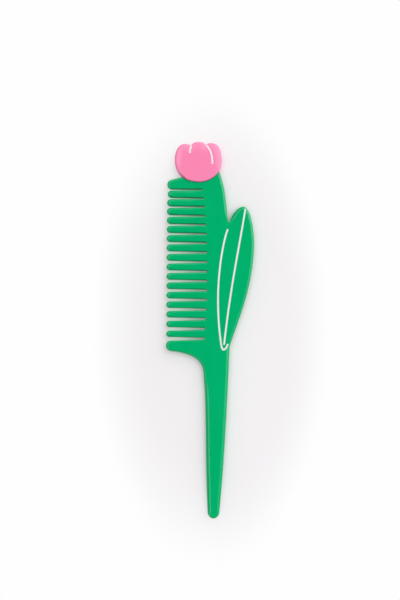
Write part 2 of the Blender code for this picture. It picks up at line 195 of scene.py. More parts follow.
STALK_BACK_SHARES = ((0.33, 0.48), (0.235, 0.61))
LEAF_EDGE_LINE_START_SHARES = (-0.0155, -0.166)
LEAF_EDGE_LINE_SHARES = (
    ((-0.0985, -0.197), (-0.38, -0.406), (-0.38, -0.664)),
    ((-0.38, -0.79), (-0.335, -0.88), (-0.262, -0.979)),
    ((-0.247, -0.9994), (-0.224, -1.0185), (-0.168, -1.0185)),
    ((-0.10, -1.0185), (-0.054, -1.0), (-0.008, -0.983)),
)
MIDRIB_START_SHARES = (0.658, -0.022)
MIDRIB_SHARES = (((0.414, -0.305), (0.10, -0.564), (-0.145, -0.978)),)
FLOWER_LEFT_SHARES = (-0.5035, 0.5375)
FLOWER_LOWER_SHARES = (
    ((-0.5035, 0.06), (-0.13, -0.0065), (0.01, -0.0065)),
    ((0.2065, -0.0065), (0.522, 0.15), (0.4998, 0.575)),
)
FLOWER_UPPER_SHARES = (
    ((0.4942, 0.647), (0.4726, 0.877), (0.3928, 0.926)),
    ((0.345, 0.968), (0.225, 1.005), (0.168, 0.9275)),
    ((0.063, 1.0525), (-0.123, 1.004), (-0.148, 0.917)),
    ((-0.178, 0.935), (-0.235, 0.95), (-0.2865, 0.95)),
    ((-0.420, 0.95), (-0.5035, 0.78), (-0.5035, 0.5375)),
)
TONGUE_START_SHARES = (0.448, 0.255)
TONGUE_SHARES = (
    ((0.374, 0.4875), (0.25, 0.6375), (0.0586, 0.6375)),
    ((-0.133, 0.6375), (-0.25, 0.5), (-0.25, 0.3)),
    ((-0.25, 0.2125), (-0.244, 0.15), (-0.3035, 0.1325)),
)
PETAL_LEFT_START_SHARES = (-0.150, 0.883)
PETAL_LEFT_SHARES = (((-0.172, 0.82), (-0.176, 0.775), (-0.176, 0.727)),)
PETAL_RIGHT_START_SHARES = (0.182, 0.898)
PETAL_RIGHT_SHARES = (((0.266, 0.777), (0.304, 0.644), (0.297, 0.460)),)

# How many of the leaf's stretches lie before its tip, and before its notch
LEAF_TIP_STEP = 2
LEAF_NOTCH_STEP = 3

# How many points of the stalk's back lie in the notch beside the leaf
NOTCH_POINTS = 3

# Places that several pieces share
STALK_BACK = GAP_DEPTH_MIDDLE + STALK_WIDTH
FLOWER_SIZE = np.array([FLOWER_WIDTH, FLOWER_HEIGHT])
FLOWER_FOOT = np.array([STALK_BACK - FLOWER_SET_BACK, FLOWER_SEAT])
LEAF_SIZE = np.array([LEAF_STAND_OUT, LEAF_LENGTH])
LEAF_TIP = np.array([STALK_BACK, -LEAF_DROP])
GAP_WIDTHS = np.linspace(GAP_WIDTH_TOP, GAP_WIDTH_BOTTOM, TOOTH_COUNT + 1)
TEETH_ABOVE = TOOTH_ROOT_WIDTH * np.arange(TOOTH_COUNT + 1)
GAP_TOPS = -(np.cumsum(GAP_WIDTHS) - GAP_WIDTHS + TEETH_ABOVE + GAP_DRIFT)
ROW_FOOT = GAP_TOPS[-1] - GAP_WIDTHS[-1]


def curve_through(start, stretches, steps=CURVE_STEPS):
    """Points along a chain of cubic Bezier curves, start first: each stretch is its two handles and end."""
    points = [np.array([start], float)]
    share = np.linspace(0.0, 1.0, steps + 1)[1:, None]
    left = 1.0 - share
    weights = (left**3, 3 * left**2 * share, 3 * left * share**2, share**3)
    for stretch in stretches:
        knots = [points[-1][-1]] + [np.array(knot, float) for knot in stretch]
        points.append(sum(weight * knot for weight, knot in zip(weights, knots)))
    return np.concatenate(points)


def scaled(shares, size, origin):
    """Knots given as shares, at their real size and place."""
    return np.array(shares) * size + origin


def between(start, end, shares):
    """Handles and end of one stretch, its handles given as shares of the way from start to end."""
    start, end = np.array(start), np.array(end)
    return [start + np.array(share) * (end - start) for share in shares] + [end]


def grown(points, distance):
    """An open run of points moved to its right-hand side, square to the run."""
    along = np.gradient(points, axis=0)
    along /= np.linalg.norm(along, axis=1)[:, None]
    return points + distance * np.stack([along[:, 1], -along[:, 0]], axis=1)


def gap_depth(share):
    """How deep a gap runs in from the tip line, at its share of the way down the row."""
    if share < DEEPEST_GAP_SHARE:
        fall = (1.0 - share / DEEPEST_GAP_SHARE) ** GAP_FALL_POWER_TOP
        return GAP_DEPTH_MIDDLE + (GAP_DEPTH_TOP - GAP_DEPTH_MIDDLE) * fall
    fall = ((share - DEEPEST_GAP_SHARE) / (1.0 - DEEPEST_GAP_SHARE)) ** GAP_FALL_POWER_BOTTOM
    return GAP_DEPTH_MIDDLE + (GAP_DEPTH_BOTTOM - GAP_DEPTH_MIDDLE) * fall


def gap_root(number):
    """The closed end of a gap, from its upper to its lower side: a quarter circle in each corner."""
    deep = gap_depth(number / TOOTH_COUNT)
    high = GAP_TOPS[number]
    low = high - GAP_WIDTHS[number]
    radius = min(GAP_CORNER_RADIUS, GAP_WIDTHS[number] / 2)
    turn = np.linspace(0.0, np.pi / 2, CORNER_STEPS + 1)
    upper = np.stack([deep + radius * (np.sin(turn) - 1.0), high + radius * (np.cos(turn) - 1.0)], axis=1)
    lower = np.stack([deep + radius * (np.cos(turn) - 1.0), low - radius * (np.sin(turn) - 1.0)], axis=1)
    return np.concatenate([upper, lower])


def tooth_tip(number):
    """The half-round tip of a tooth, from its upper to its lower edge."""
    share = number / (TOOTH_COUNT - 1)
    width = TOOTH_TIP_WIDTH_TOP + (TOOTH_TIP_WIDTH_BOTTOM - TOOTH_TIP_WIDTH_TOP) * share
    middle = (GAP_TOPS[number] - GAP_WIDTHS[number] + GAP_TOPS[number + 1]) / 2
    turn = np.linspace(np.pi / 2, 3 * np.pi / 2, 2 * NOSE_STEPS + 1)
    across = width / 2 * (1.0 + np.cos(turn)) - TIP_LINE_LEAN * share**TIP_LEAN_POWER
    return np.stack([across, middle + width / 2 * np.sin(turn)], axis=1)


def body_head():
    """The plate's edge round its upper end, in three runs: stalk's back, tongue, top guard's nose."""
    notch = scaled(LEAF_SHARES[-1][-1], LEAF_SIZE, LEAF_TIP)
    tongue_start = scaled(TONGUE_START_SHARES, FLOWER_SIZE, FLOWER_FOOT)
    back = curve_through(notch, [between(notch, tongue_start, STALK_BACK_SHARES)])
    top = curve_through(tongue_start, scaled(TONGUE_SHARES, FLOWER_SIZE, FLOWER_FOOT), NOSE_STEPS)
    size, corner = np.array([TOP_GUARD_NOSE, TOP_GUARD_WIDTH]), np.array([0.0, GAP_TOPS[0]])
    nose = curve_through(size + corner, scaled(TOP_GUARD_SHARES, size, corner), NOSE_STEPS)
    return [back, top[1:], nose]


def bottom_guard_nose():
    """The plate's edge round the bottom guard's nose."""
    size = (BOTTOM_GUARD_NOSE, BOTTOM_GUARD_WIDTH)
    corner = (-TIP_LINE_LEAN - BOTTOM_GUARD_LEAD, ROW_FOOT)
    start = scaled(BOTTOM_GUARD_START_SHARES, size, corner)
    return curve_through(start, scaled(BOTTOM_GUARD_SHARES, size, corner), NOSE_STEPS)


def body_tail(start):
    """The plate's edge below the row, in four runs: crook, tail's left side, its end, its right side."""
    crook_end = np.array([STALK_BACK - TAIL_TOP_WIDTH, start[1] - CROOK_HEIGHT])
    end = np.array([STALK_BACK - TAIL_TOP_WIDTH / 2 - TAIL_SWEEP, crook_end[1] - TAIL_LENGTH])
    half = np.array([TAIL_END_WIDTH / 2, 0.0])
    nose = np.array([0.0, TAIL_NOSE])
    left, right = end + nose - half, end + nose + half
    base = scaled(LEAF_BASE_SHARES, LEAF_SIZE, LEAF_TIP)
    return [run[1:] for run in (
        curve_through(start, [between(start, crook_end, CROOK_SHARES)]),
        curve_through(crook_end, [between(crook_end, left, TAIL_LEFT_SHARES)]),
        curve_through(left, [
            (left - TAIL_NOSE_SHARE * nose, end - TAIL_NOSE_SHARE * half, end),
            (end + TAIL_NOSE_SHARE * half, right - TAIL_NOSE_SHARE * nose, right),
        ]),
        curve_through(right, [between(right, base, TAIL_RIGHT_SHARES)]),
    )]


def body_outline():
    """The whole edge of the green plate, anticlockwise, and the reach and fall of its rounding."""
    back, tongue, nose = body_head()
    runs = [(back[:NOTCH_POINTS], NOTCH_ROUNDING), (back[NOTCH_POINTS:], STALK_ROUNDING)]
    runs.append((tongue, STALK_ROUNDING))
    runs.append((nose, GUARD_ROUNDING))
    for number in range(TOOTH_COUNT + 1):
        upper, lower = np.split(gap_root(number), 2)
        runs += [(upper, TOOTH_UNDER_ROUNDING), (lower, TOOTH_TOP_ROUNDING)]
        if number < TOOTH_COUNT:
            runs.append((tooth_tip(number), TIP_ROUNDING))
    runs.append((bottom_guard_nose(), GUARD_ROUNDING))
    tail = body_tail(runs[-1][0][-1])
    runs += zip(tail, (CROOK_ROUNDING, TAIL_LEFT_ROUNDING, TAIL_END_ROUNDING, TAIL_RIGHT_ROUNDING))
    leaf = curve_through(tail[-1][-1], scaled(LEAF_SHARES, LEAF_SIZE, LEAF_TIP))[1:-1]
    tip, inner = LEAF_TIP_STEP * CURVE_STEPS, LEAF_NOTCH_STEP * CURVE_STEPS
    runs.append((leaf[:tip], LEAF_OUTER_ROUNDING))
    runs.append((leaf[tip:inner], LEAF_INNER_ROUNDING))
    runs.append((leaf[inner:], NOTCH_ROUNDING))
    outline = np.concatenate([points for points, _ in runs])
    return outline, np.concatenate([np.tile(pair, (len(points), 1)) for points, pair in runs])


def flower_lower():
    """The flower's edge from its left side down round its foot to its right side."""
    start = scaled(FLOWER_LEFT_SHARES, FLOWER_SIZE, FLOWER_FOOT)
    return curve_through(start, scaled(FLOWER_LOWER_SHARES, FLOWER_SIZE, FLOWER_FOOT))


def flower_outline():
    """The whole edge of the flower, anticlockwise."""
    lower = flower_lower()
    upper = curve_through(lower[-1], scaled(FLOWER_UPPER_SHARES, FLOWER_SIZE, FLOWER_FOOT))
    return np.concatenate([lower, upper[1:-1]])


def middle_of_comb():
    """The middle of the whole comb in plan, which lies over the frame's origin."""
    points = np.concatenate([body_outline()[0], flower_outline()])
    return (points.min(axis=0) + points.max(axis=0)) / 2


MIDDLE = middle_of_comb()
TOOTH_MIDDLES = (GAP_TOPS[:-1] - GAP_WIDTHS[:-1] + GAP_TOPS[1:]) / 2 - MIDDLE[1]
ROOT_LINE = GAP_DEPTH_TOP - MIDDLE[0]


def evened(outline, rounding):
    """The same closed outline without points that fall on the one before, and with long sides divided, so
    that none is longer than the longest side. A divided side takes the rounding of its ends that reaches
    in less."""
    keep = np.linalg.norm(outline - np.roll(outline, 1, axis=0), axis=1) > WELD
    outline, rounding = outline[keep], rounding[keep]
    side = np.roll(outline, -1, axis=0) - outline
    parts = np.maximum(np.ceil(np.linalg.norm(side, axis=1) / LONGEST_SIDE), 1).astype(int)
    which = np.repeat(np.arange(len(outline)), parts)
    step = np.arange(len(which)) - (np.cumsum(parts) - parts)[which]
    share = (step / parts[which])[:, None]
    after = np.roll(rounding, -1, axis=0)
    lesser = np.where((rounding[:, 0] < after[:, 0])[:, None], rounding, after)
    return outline[which] + share * side[which], np.where(share > 0.0, lesser[which], rounding[which])


def facing(outline):
    """Points and outward directions round a closed outline.

    The direction at a point halves the angle between its two sides, longer as they turn, so that a moved
    outline keeps its distance. At an inward corner the point repeats, with its directions in a fan.
    """
    ahead = np.roll(outline, -1, axis=0) - outline
    heading = np.arctan2(ahead[:, 1], ahead[:, 0])
    behind = np.roll(heading, 1)
    turn = (heading - behind + np.pi) % (2 * np.pi) - np.pi
    fan = np.where(turn < -CORNER_TURN, np.ceil(-turn / CORNER_TURN), 1).astype(int)
    which = np.repeat(np.arange(len(outline)), fan)
    place = np.arange(len(which)) - (np.cumsum(fan) - fan)[which]
    share = (place + 0.5) / fan[which]
    angle = behind[which] + turn[which] * share - np.pi / 2
    length = np.where(fan == 1, 1.0 / np.cos(turn / 2), 1.0)[which]
    return outline[which], length[:, None] * np.stack([np.cos(angle), np.sin(angle)], axis=1), which


def eased(values, outline, length):
    """Rows of values along a closed outline, averaged by a bell curve of the distance along it."""
    step = np.linalg.norm(np.roll(outline, -1, axis=0) - outline, axis=1)
    along = np.cumsum(step) - step
    apart = np.abs(along[:, None] - along[None, :])
    apart = np.minimum(apart, step.sum() - apart)
    weight = np.exp(-((apart / length) ** 2)) * (step + np.roll(step, 1))[None, :]
    return (weight @ values) / weight.sum(axis=1)[:, None]


def away_from(points, outline):
    """Distance of each point from a closed outline, by the nearest place on each of its sides."""
    start = outline[None, :, :]
    side = np.roll(outline, -1, axis=0)[None, :, :] - start
    offset = points[:, None, :] - start
    length = np.maximum((side**2).sum(axis=2), WELD**2)
    share = np.clip((offset * side).sum(axis=2) / length, 0.0, 1.0)
    return np.linalg.norm(offset - share[..., None] * side, axis=2).min(axis=1)


def inside(points, outline):
    """Whether each point lies inside a closed outline: an odd number of sides crosses the ray to +X."""
    start, end = outline, np.roll(outline, -1, axis=0)
    across, up = points[:, None, 0], points[:, None, 1]
    passes = (start[:, 1] > up) != (end[:, 1] > up)
    rise = np.where(start[:, 1] == end[:, 1], 1.0, end[:, 1] - start[:, 1])
    meets = start[:, 0] + (up - start[:, 1]) * (end[:, 0] - start[:, 0]) / rise
    return (passes & (across < meets)).sum(axis=1) % 2 == 1


def filled(ring, extra=None):
    """Triangles over the inside of a closed ring, through any extra points: (points, faces)."""
    points = ring if extra is None else np.concatenate([ring, extra])
    made = delaunay_2d_cdt(points.tolist(), [], [list(range(len(ring)))], 1, 0.0)
    return np.array([tuple(point) for point in made[0]]), np.array(made[2])


def mesh_from(name, points, faces, marks=None):
    """A closed mesh object from points and faces, its doubles merged and its faces turned outwards. Marks
    are values at the points that a material reads, by name."""
    mesh = bpy.data.meshes.new(name)
    mesh.from_pydata(points.tolist(), [], faces)
    for mark, values in (marks or {}).items():
        mesh.attributes.new(mark, "FLOAT", "POINT").data.foreach_set("value", values)
    shape = bmesh.new()
    shape.from_mesh(mesh)
    bmesh.ops.remove_doubles(shape, verts=shape.verts, dist=WELD)
    bmesh.ops.dissolve_degenerate(shape, edges=shape.edges, dist=WELD)
    bmesh.ops.recalc_face_normals(shape, faces=shape.faces)
    shape.to_mesh(mesh)
    shape.free()
    solid = bpy.data.objects.new(name, mesh)
    bpy.context.scene.collection.objects.link(solid)
    return solid


def strips(rows, count):
    """Four-sided faces between rows of points, each row a closed ring."""
    row, column = np.meshgrid(np.arange(rows - 1), np.arange(count), indexing="ij")
    after = (column + 1) % count
    this, other = row * count, (row + 1) * count
    corners = [this + column, this + after, other + after, other + column]
    return np.stack(corners, axis=-1).reshape(-1, 4)


def slab(name, outline, rounding, high, drop, grid):
    """A plate with tumbled edges, from the floor up.

    It is a grid of two parameters, the way round the outline and the way over the edge. On the edge the
    distance in from the outline is the rounding's reach times (1 - sine) and the fall below the face is its
    fall times (1 - cosine), a quarter ellipse front and back. Both faces are filled with triangles, the
    front one through the grid's places. Drop is how far the front face lies below its highest level, as a
    function of the place.
    """
    points, out, which = facing(outline)
    reach, fall = rounding[which].T
    turn = np.linspace(0.0, np.pi / 2, ROUND_STEPS + 1)[:, None]
    share = np.concatenate([1.0 - np.sin(turn), (1.0 - np.sin(turn))[::-1]])
    rings = points[None] - (share * reach)[..., None] * out[None]
    band = points[None] - (reach + BAND)[None, :, None] * out[None]
    rings = np.concatenate([band, rings, band])
    back = np.minimum(fall, BACK_FALL) * (1.0 - np.cos(turn))
    front = high - fall * (1.0 - np.cos(turn))
    level = np.full((1, len(points)), high)
    lift = np.concatenate([0.0 * level, back, front[::-1], level])
    above = len(turn) + 1
    lift[above:] -= drop(rings[above:].reshape(-1, 2)).reshape(lift[above:].shape)
    shell = np.concatenate([rings, lift[..., None]], axis=2).reshape(-1, 3)
    faces = strips(*lift.shape).tolist()
    total = [shell]
    start = len(shell)
    for ring, extra in ((rings[0], None), (rings[-1], grid)):
        flat, triangles = filled(ring, extra)
        height = np.zeros(len(flat)) if extra is None else high - drop(flat)
        total.append(np.column_stack([flat, height]))
        faces += (triangles + start).tolist()
        start += len(flat)
    return mesh_from(name, np.concatenate(total), faces)


def stroke(path, half_width):
    """The outline of a line of one width along a path, with half-round ends."""
    right = grown(path, half_width)
    left = grown(path, -half_width)
    outline = [right]
    for middle, rim in ((path[-1], right[-1]), (path[0], left[0])):
        turn = np.linspace(0.0, np.pi, 2 * CORNER_STEPS + 1)[1:-1, None]
        spoke = rim - middle
        square = np.array([-spoke[1], spoke[0]])
        outline.append(middle + np.cos(turn) * spoke + np.sin(turn) * square)
        outline.append(left[::-1])
    return np.concatenate(outline[:-1])


def run_along(name, path, profile, level):
    """A closed run along a path: the grid of a profile of (half width, height) rows carried round the
    path's outline. The first and last rows have no width, so each closes on the path itself. Level gives
    the height of the surface that the line lies in, as a function of the place."""
    widths, heights = np.array(profile).T
    rings = np.stack([stroke(path, width) for width in widths])
    lift = level(rings.reshape(-1, 2)).reshape(rings.shape[:2]) + heights[:, None]
    shell = np.concatenate([rings, lift[..., None]], axis=2).reshape(-1, 3)
    across = np.repeat(widths / widths.max(), rings.shape[1])
    return mesh_from(name, shell, strips(*lift.shape).tolist(), {"across": across})


def cut_out(solid, cutters):
    """Takes the cutters' shapes out of the solid for good, and removes them."""
    for cutter in cutters:
        modifier = solid.modifiers.new("cut", "BOOLEAN")
        modifier.operation = "DIFFERENCE"
        modifier.solver = "EXACT"
        modifier.object = cutter
    bpy.context.view_layer.update()
    graph = bpy.context.evaluated_depsgraph_get()
    mesh = bpy.data.meshes.new_from_object(solid.evaluated_get(graph))
    solid.modifiers.clear()
    old = solid.data
    solid.data = mesh
    bpy.data.meshes.remove(old)
    mesh.name = solid.name
    for cutter in cutters:
        cutter_mesh = cutter.data
        bpy.data.objects.remove(cutter)
        bpy.data.meshes.remove(cutter_mesh)


def prism(name, outline, low, high):
    """A straight-walled block over an outline."""
    points, faces = filled(outline)
    count = len(outline)
    walls = np.concatenate([np.column_stack([outline, np.full(count, z)]) for z in (low, high)])
    ends = [np.column_stack([points, np.full(len(points), z)]) for z in (low, high)]
    start = 2 * count
    every = strips(2, count).tolist() + (faces + start).tolist() + (faces + start + len(points)).tolist()
    return mesh_from(name, np.concatenate([walls, *ends]), every)


def placed(points):
    """Outline points moved to the frame's origin."""
    return points - MIDDLE


def groove_profile():
    """Half width and height of a line's cutter: floor, wall, a small lip at the face, and past the face."""
    half = LINE_WIDTH / 2
    return [
        (0.0, -LINE_DEPTH),
        (half - LINE_LIP, -LINE_DEPTH),
        (half, -LINE_DEPTH + LINE_LIP),
        (half, -LINE_LIP),
        (half + LINE_LIP, 0.0),
        (half + LINE_LIP, OVERRUN),
        (0.0, OVERRUN),
    ]


def enamel_profile():
    """Half width and height of a run of enamel: flat below, wetting the walls, and dished on top, where
    its height rises from the middle to the wall with the cube of the way across."""
    half = LINE_WIDTH / 2 - ENAMEL_GAP
    floor = -LINE_DEPTH + ENAMEL_GAP
    across = np.linspace(1.0, 0.0, ENAMEL_STEPS + 1)
    top = [(half * share, -ENAMEL_SINK - ENAMEL_DISH * (1.0 - share**3)) for share in across]
    return [(0.0, floor), (half - LINE_LIP, floor), (half, floor + LINE_LIP)] + top


def level_at(height):
    """A level surface at one height."""
    return lambda places: np.full(len(places), height)


def smooth_step(low, high, value):
    """Nought below low, one above high, and an even S between."""
    share = np.clip((value - low) / (high - low), 0.0, 1.0)
    return share * share * (3.0 - 2.0 * share)


FLOWER_EDGE = placed(flower_outline())


def crown(places):
    """How far the flower's face lies below its highest level: the drop times the square of the way from
    the crown's reach out to the edge, fading to nothing at the foot."""
    near = np.clip(1.0 - away_from(places, FLOWER_EDGE) / CROWN_REACH, 0.0, 1.0)
    foot = FLOWER_FOOT[1] - MIDDLE[1]
    up = (places[:, 1] - foot) / FLOWER_HEIGHT
    return CROWN_DROP * near**2 * smooth_step(CROWN_START_SHARE, CROWN_FULL_SHARE, up)


def dome(places):
    """How far the plate's face lies below its full height: on a tooth, the drop times the square of the way
    from its middle line out to its side, fading to nothing at the roots."""
    off = np.abs(places[:, 1, None] - TOOTH_MIDDLES[None, :]).min(axis=1) / (TOOTH_ROOT_WIDTH / 2)
    free = 1.0 - smooth_step(ROOT_LINE - DOME_RUN_OUT, ROOT_LINE, places[:, 0])
    return DOME_DROP * np.where(off < 1.0, off**2, 0.0) * free


def dome_grid():
    """Places along the middle of every tooth, in rows, from the roots to where the free end rounds off."""
    tip = -MIDDLE[0] + TOOTH_TIP_WIDTH_TOP
    along = np.arange(tip, ROOT_LINE, DOME_STEP)
    rows = (TOOTH_MIDDLES[:, None] + np.array(DOME_ROWS)[None, :]).ravel()
    return np.stack(np.meshgrid(along, rows), axis=-1).reshape(-1, 2)


def flower_face(places):
    """Height of the flower's face."""
    return FLOWER_THICKNESS - crown(places)


def shaded(piece, material):
    """Gives a finished piece its material, and shades its round stretches smooth."""
    piece.data.materials.clear()
    piece.data.materials.append(material)
    piece.data.polygons.foreach_set("material_index", np.zeros(len(piece.data.polygons), np.int32))
    piece.data.shade_smooth()
    piece.data.set_sharp_from_angle(angle=SHARP_ANGLE)


def face_grid(outline, margin):
    """Evenly spaced places inside an outline, no nearer to it than the margin."""
    low, high = outline.min(axis=0), outline.max(axis=0)
    across, up = (np.arange(low[axis], high[axis], FACE_GRID) for axis in (0, 1))
    places = np.stack(np.meshgrid(across, up), axis=-1).reshape(-1, 2)
    places = places[inside(places, outline)]
    return places[away_from(places, outline) > margin]


def make_body(material):
    """The green plate: thinned to a tongue under the flower, and with the leaf's two lines cut in."""
    outline, rounding = evened(*body_outline())
    outline = placed(outline)
    rounding = eased(rounding, outline, ROUNDING_BLEND)
    body = slab("tumbled_comb_body", outline, rounding, BODY_THICKNESS, dome, dome_grid())
    foot = placed(grown(flower_lower(), LAP_CLEARANCE))
    above = placed(FLOWER_FOOT)[1] + FLOWER_HEIGHT + OVERRUN
    lap = np.concatenate([foot, [(foot[-1][0], above), (foot[0][0], above)]])
    face = level_at(BODY_THICKNESS)
    cut_out(body, [
        prism("lap", lap, TONGUE_THICKNESS, BODY_THICKNESS + OVERRUN),
        run_along("leaf_edge_groove", LEAF_EDGE_LINE, groove_profile(), face),
        run_along("midrib_groove", MIDRIB_LINE, groove_profile(), face),
    ])
    shaded(body, material)
    return body


def flower_rounding(outline):
    """Reach and fall round the flower: even on the petals, steep low down on the left side where it stands
    clear of the plate, and tight along the foot."""
    up = (outline[:, 1] - placed(FLOWER_FOOT)[1]) / FLOWER_HEIGHT
    across = (outline[:, 0] - placed(FLOWER_FOOT)[0]) / FLOWER_WIDTH
    low = 1.0 - smooth_step(*FLOWER_LOW_SHARES, up)
    left = 1.0 - smooth_step(*FLOWER_SIDE_SHARES, across)
    petal, side, foot = np.array([PETAL_ROUNDING, FLOWER_LEFT_ROUNDING, FLOWER_FOOT_ROUNDING])
    lower = foot + left[:, None] * (side - foot)
    return petal + low[:, None] * (lower - petal)


def make_flower(material):
    """The pink flower head, with a pocket in its back for the tongue and the petals' two lines cut in."""
    outline, _ = evened(FLOWER_EDGE, np.zeros((len(FLOWER_EDGE), 2)))
    rounding = flower_rounding(outline)
    grid = face_grid(outline, FLOWER_LEFT_ROUNDING[0] + BAND + FACE_GRID / 2)
    flower = slab("tumbled_flower_head", outline, rounding, FLOWER_THICKNESS, crown, grid)
    rim = placed(grown(np.concatenate(body_head()), LAP_CLEARANCE))
    pocket = np.concatenate([rim, [(rim[-1][0], placed(FLOWER_FOOT)[1] - FLOWER_HEIGHT)]])
    cut_out(flower, [
        prism("pocket", pocket, -OVERRUN, TONGUE_THICKNESS + BOND_GAP),
        run_along("petal_left_groove", PETAL_LEFT_LINE, groove_profile(), flower_face),
        run_along("petal_right_groove", PETAL_RIGHT_LINE, groove_profile(), flower_face),
    ])
    shaded(flower, material)
    return flower


def line_path(start, shares, size, origin):
    """The middle of an engraved line."""
    return placed(curve_through(scaled(start, size, origin), scaled(shares, size, origin)))


LEAF_EDGE_LINE = line_path(LEAF_EDGE_LINE_START_SHARES, LEAF_EDGE_LINE_SHARES, LEAF_SIZE, LEAF_TIP)
MIDRIB_LINE = line_path(MIDRIB_START_SHARES, MIDRIB_SHARES, LEAF_SIZE, LEAF_TIP)
PETAL_LEFT_LINE = line_path(PETAL_LEFT_START_SHARES, PETAL_LEFT_SHARES, FLOWER_SIZE, FLOWER_FOOT)
PETAL_RIGHT_LINE = line_path(PETAL_RIGHT_START_SHARES, PETAL_RIGHT_SHARES, FLOWER_SIZE, FLOWER_FOOT)


def linear(hex_colour):
    """A colour written as sRGB hex, as linear light with full opacity."""
    levels = np.array([int(hex_colour[place:place + 2], 16) for place in (1, 3, 5)]) / 255.0
    light = np.where(levels <= 0.04045, levels / 12.92, ((levels + 0.055) / 1.055) ** 2.4)
    return (*light.tolist(), 1.0)


def add(tree, kind, inputs=None, **settings):
    """Adds one node. Inputs are values, or sockets to link from, by the input's name or number."""
    node = tree.nodes.new(kind)
    for name, value in settings.items():
        setattr(node, name, value)
    for name, value in (inputs or {}).items():
        socket = node.inputs[name]
        if isinstance(value, bpy.types.NodeSocket):
            tree.links.new(value, socket)
        else:
            socket.default_value = value
    return node


def new_material(name):
    """An empty node material, its node tree, and the place on the piece, in metres."""
    material = bpy.data.materials.new(name)
    material.use_nodes = True
    tree = material.node_tree
    tree.nodes.clear()
    return material, tree, add(tree, "ShaderNodeTexCoord").outputs["Object"]


def surfaced(material, shader):
    """The material, with a shader's socket as its surface."""
    add(material.node_tree, "ShaderNodeOutputMaterial", {"Surface": shader})
    return material


def per_metre(size):
    """The scale at which a noise has features of a real size."""
    return 1.0 / size


# The plastics: darker and lighter pigment and index of each, and what both share, which is the patterns'
# sizes and strengths and how rough the polish is where it is clear, hazy or scratched
GREEN_DARK, GREEN_LIGHT, GREEN_INDEX = "#00AC6A", "#00B16D", 1.44
PINK_DARK, PINK_LIGHT, PINK_INDEX = "#FB87B2", "#FB8CB7", 1.52
CLOUD_SIZE = 9 * MM
STREAK_SIZE, STREAK_STRETCH, STREAK_SHARE = 2.5 * MM, 0.08, 0.5
SWELL_SIZE, SWELL_RISE = 6 * MM, 0.03 * MM
HAZE_SIZE, HAZE_START, HAZE_FULL = 11 * MM, 0.4, 0.75
HAIR_SIZE, HAIR_STRETCH, HAIR_START, HAIR_FULL = 0.3 * MM, 0.02, 0.70, 0.78
HAIR_ANGLE, HAIR_DEPTH = np.radians(62.0), 0.002 * MM
ROUGH_CLEAR, ROUGH_HAZY, ROUGH_HAIR = 0.05, 0.09, 0.1


def tumbled_acetate(name, dark, light, index):
    """Cellulose acetate sheet, sawn out and tumbled in barrels until it shines. The pigment is even, with a
    faint cloudiness some 9 mm across and fainter streaks along the sheet. Tumbling leaves swells some 6 mm
    apart, which make the lights along the edges waver. Handling adds patches of haze a centimetre across
    and hairlines, here drawn 0.3 mm wide because real ones would not show."""
    material, tree, place = new_material(name)
    patterns = []
    for size, detail, angle, stretch in (
        (CLOUD_SIZE, 2.0, 0.0, 1.0),
        (STREAK_SIZE, 1.0, 0.0, STREAK_STRETCH),
        (HAZE_SIZE, 3.0, 0.0, 1.0),
        (HAIR_SIZE, 0.0, HAIR_ANGLE, HAIR_STRETCH),
        (SWELL_SIZE, 1.0, 0.0, 1.0),
    ):
        turned = add(tree, "ShaderNodeMapping", {
            "Vector": place, "Rotation": (0.0, 0.0, angle), "Scale": (1.0, stretch, 1.0),
        })
        patterns.append(add(tree, "ShaderNodeTexNoise", {
            "Vector": turned.outputs["Vector"], "Scale": per_metre(size), "Detail": detail,
        }).outputs["Fac"])
    cloud, streak, haze, hair, swell = patterns
    pigment = add(tree, "ShaderNodeMath", {0: streak, 1: STREAK_SHARE, 2: cloud}, operation="MULTIPLY_ADD")
    tint = add(tree, "ShaderNodeValToRGB", {"Fac": pigment.outputs["Value"]})
    tint.color_ramp.elements[0].position = STREAK_SHARE
    tint.color_ramp.elements[0].color = linear(dark)
    tint.color_ramp.elements[1].position = 1.0
    tint.color_ramp.elements[1].color = linear(light)
    haze = add(tree, "ShaderNodeMapRange", {
        "Value": haze, "From Min": HAZE_START, "From Max": HAZE_FULL,
        "To Min": ROUGH_CLEAR, "To Max": ROUGH_HAZY,
    })
    hair = add(tree, "ShaderNodeMapRange", {"Value": hair, "From Min": HAIR_START, "From Max": HAIR_FULL})
    rough = add(tree, "ShaderNodeMath", {
        0: hair.outputs["Result"], 1: ROUGH_HAIR, 2: haze.outputs["Result"],
    }, operation="MULTIPLY_ADD")
    swollen = add(tree, "ShaderNodeBump", {"Height": swell, "Distance": SWELL_RISE})
    scratched = add(tree, "ShaderNodeBump", {
        "Height": hair.outputs["Result"], "Distance": HAIR_DEPTH, "Normal": swollen.outputs["Normal"],
    }, invert=True)
    shader = add(tree, "ShaderNodeBsdfPrincipled", {
        "Base Color": tint.outputs["Color"], "Roughness": rough.outputs["Value"], "IOR": index,
        "Normal": scratched.outputs["Normal"],
    })
    return surfaced(material, shader.outputs["BSDF"])


# The enamel: its colour at full cover and thinned over each plastic, its clouds and where it thins out,
# how rough it dries, its index and its ripples
ENAMEL_FULL = "#EAE8E9"
ENAMEL_THIN_ON_GREEN, ENAMEL_THIN_ON_PINK = "#A9C9B8", "#EBC3D2"
ENAMEL_CLOUD_SIZE, ENAMEL_CLOUD_SHARE = 1.2 * MM, 0.35
ENAMEL_CLOUD_LOW, ENAMEL_CLOUD_HIGH = 0.3, 0.7
ENAMEL_RIM_START, ENAMEL_THINNING_START = 0.7, 0.1
ENAMEL_ROUGH_LOW, ENAMEL_ROUGH_HIGH = 0.32, 0.48
ENAMEL_INDEX, ENAMEL_RIPPLE = 1.45, 0.01 * MM


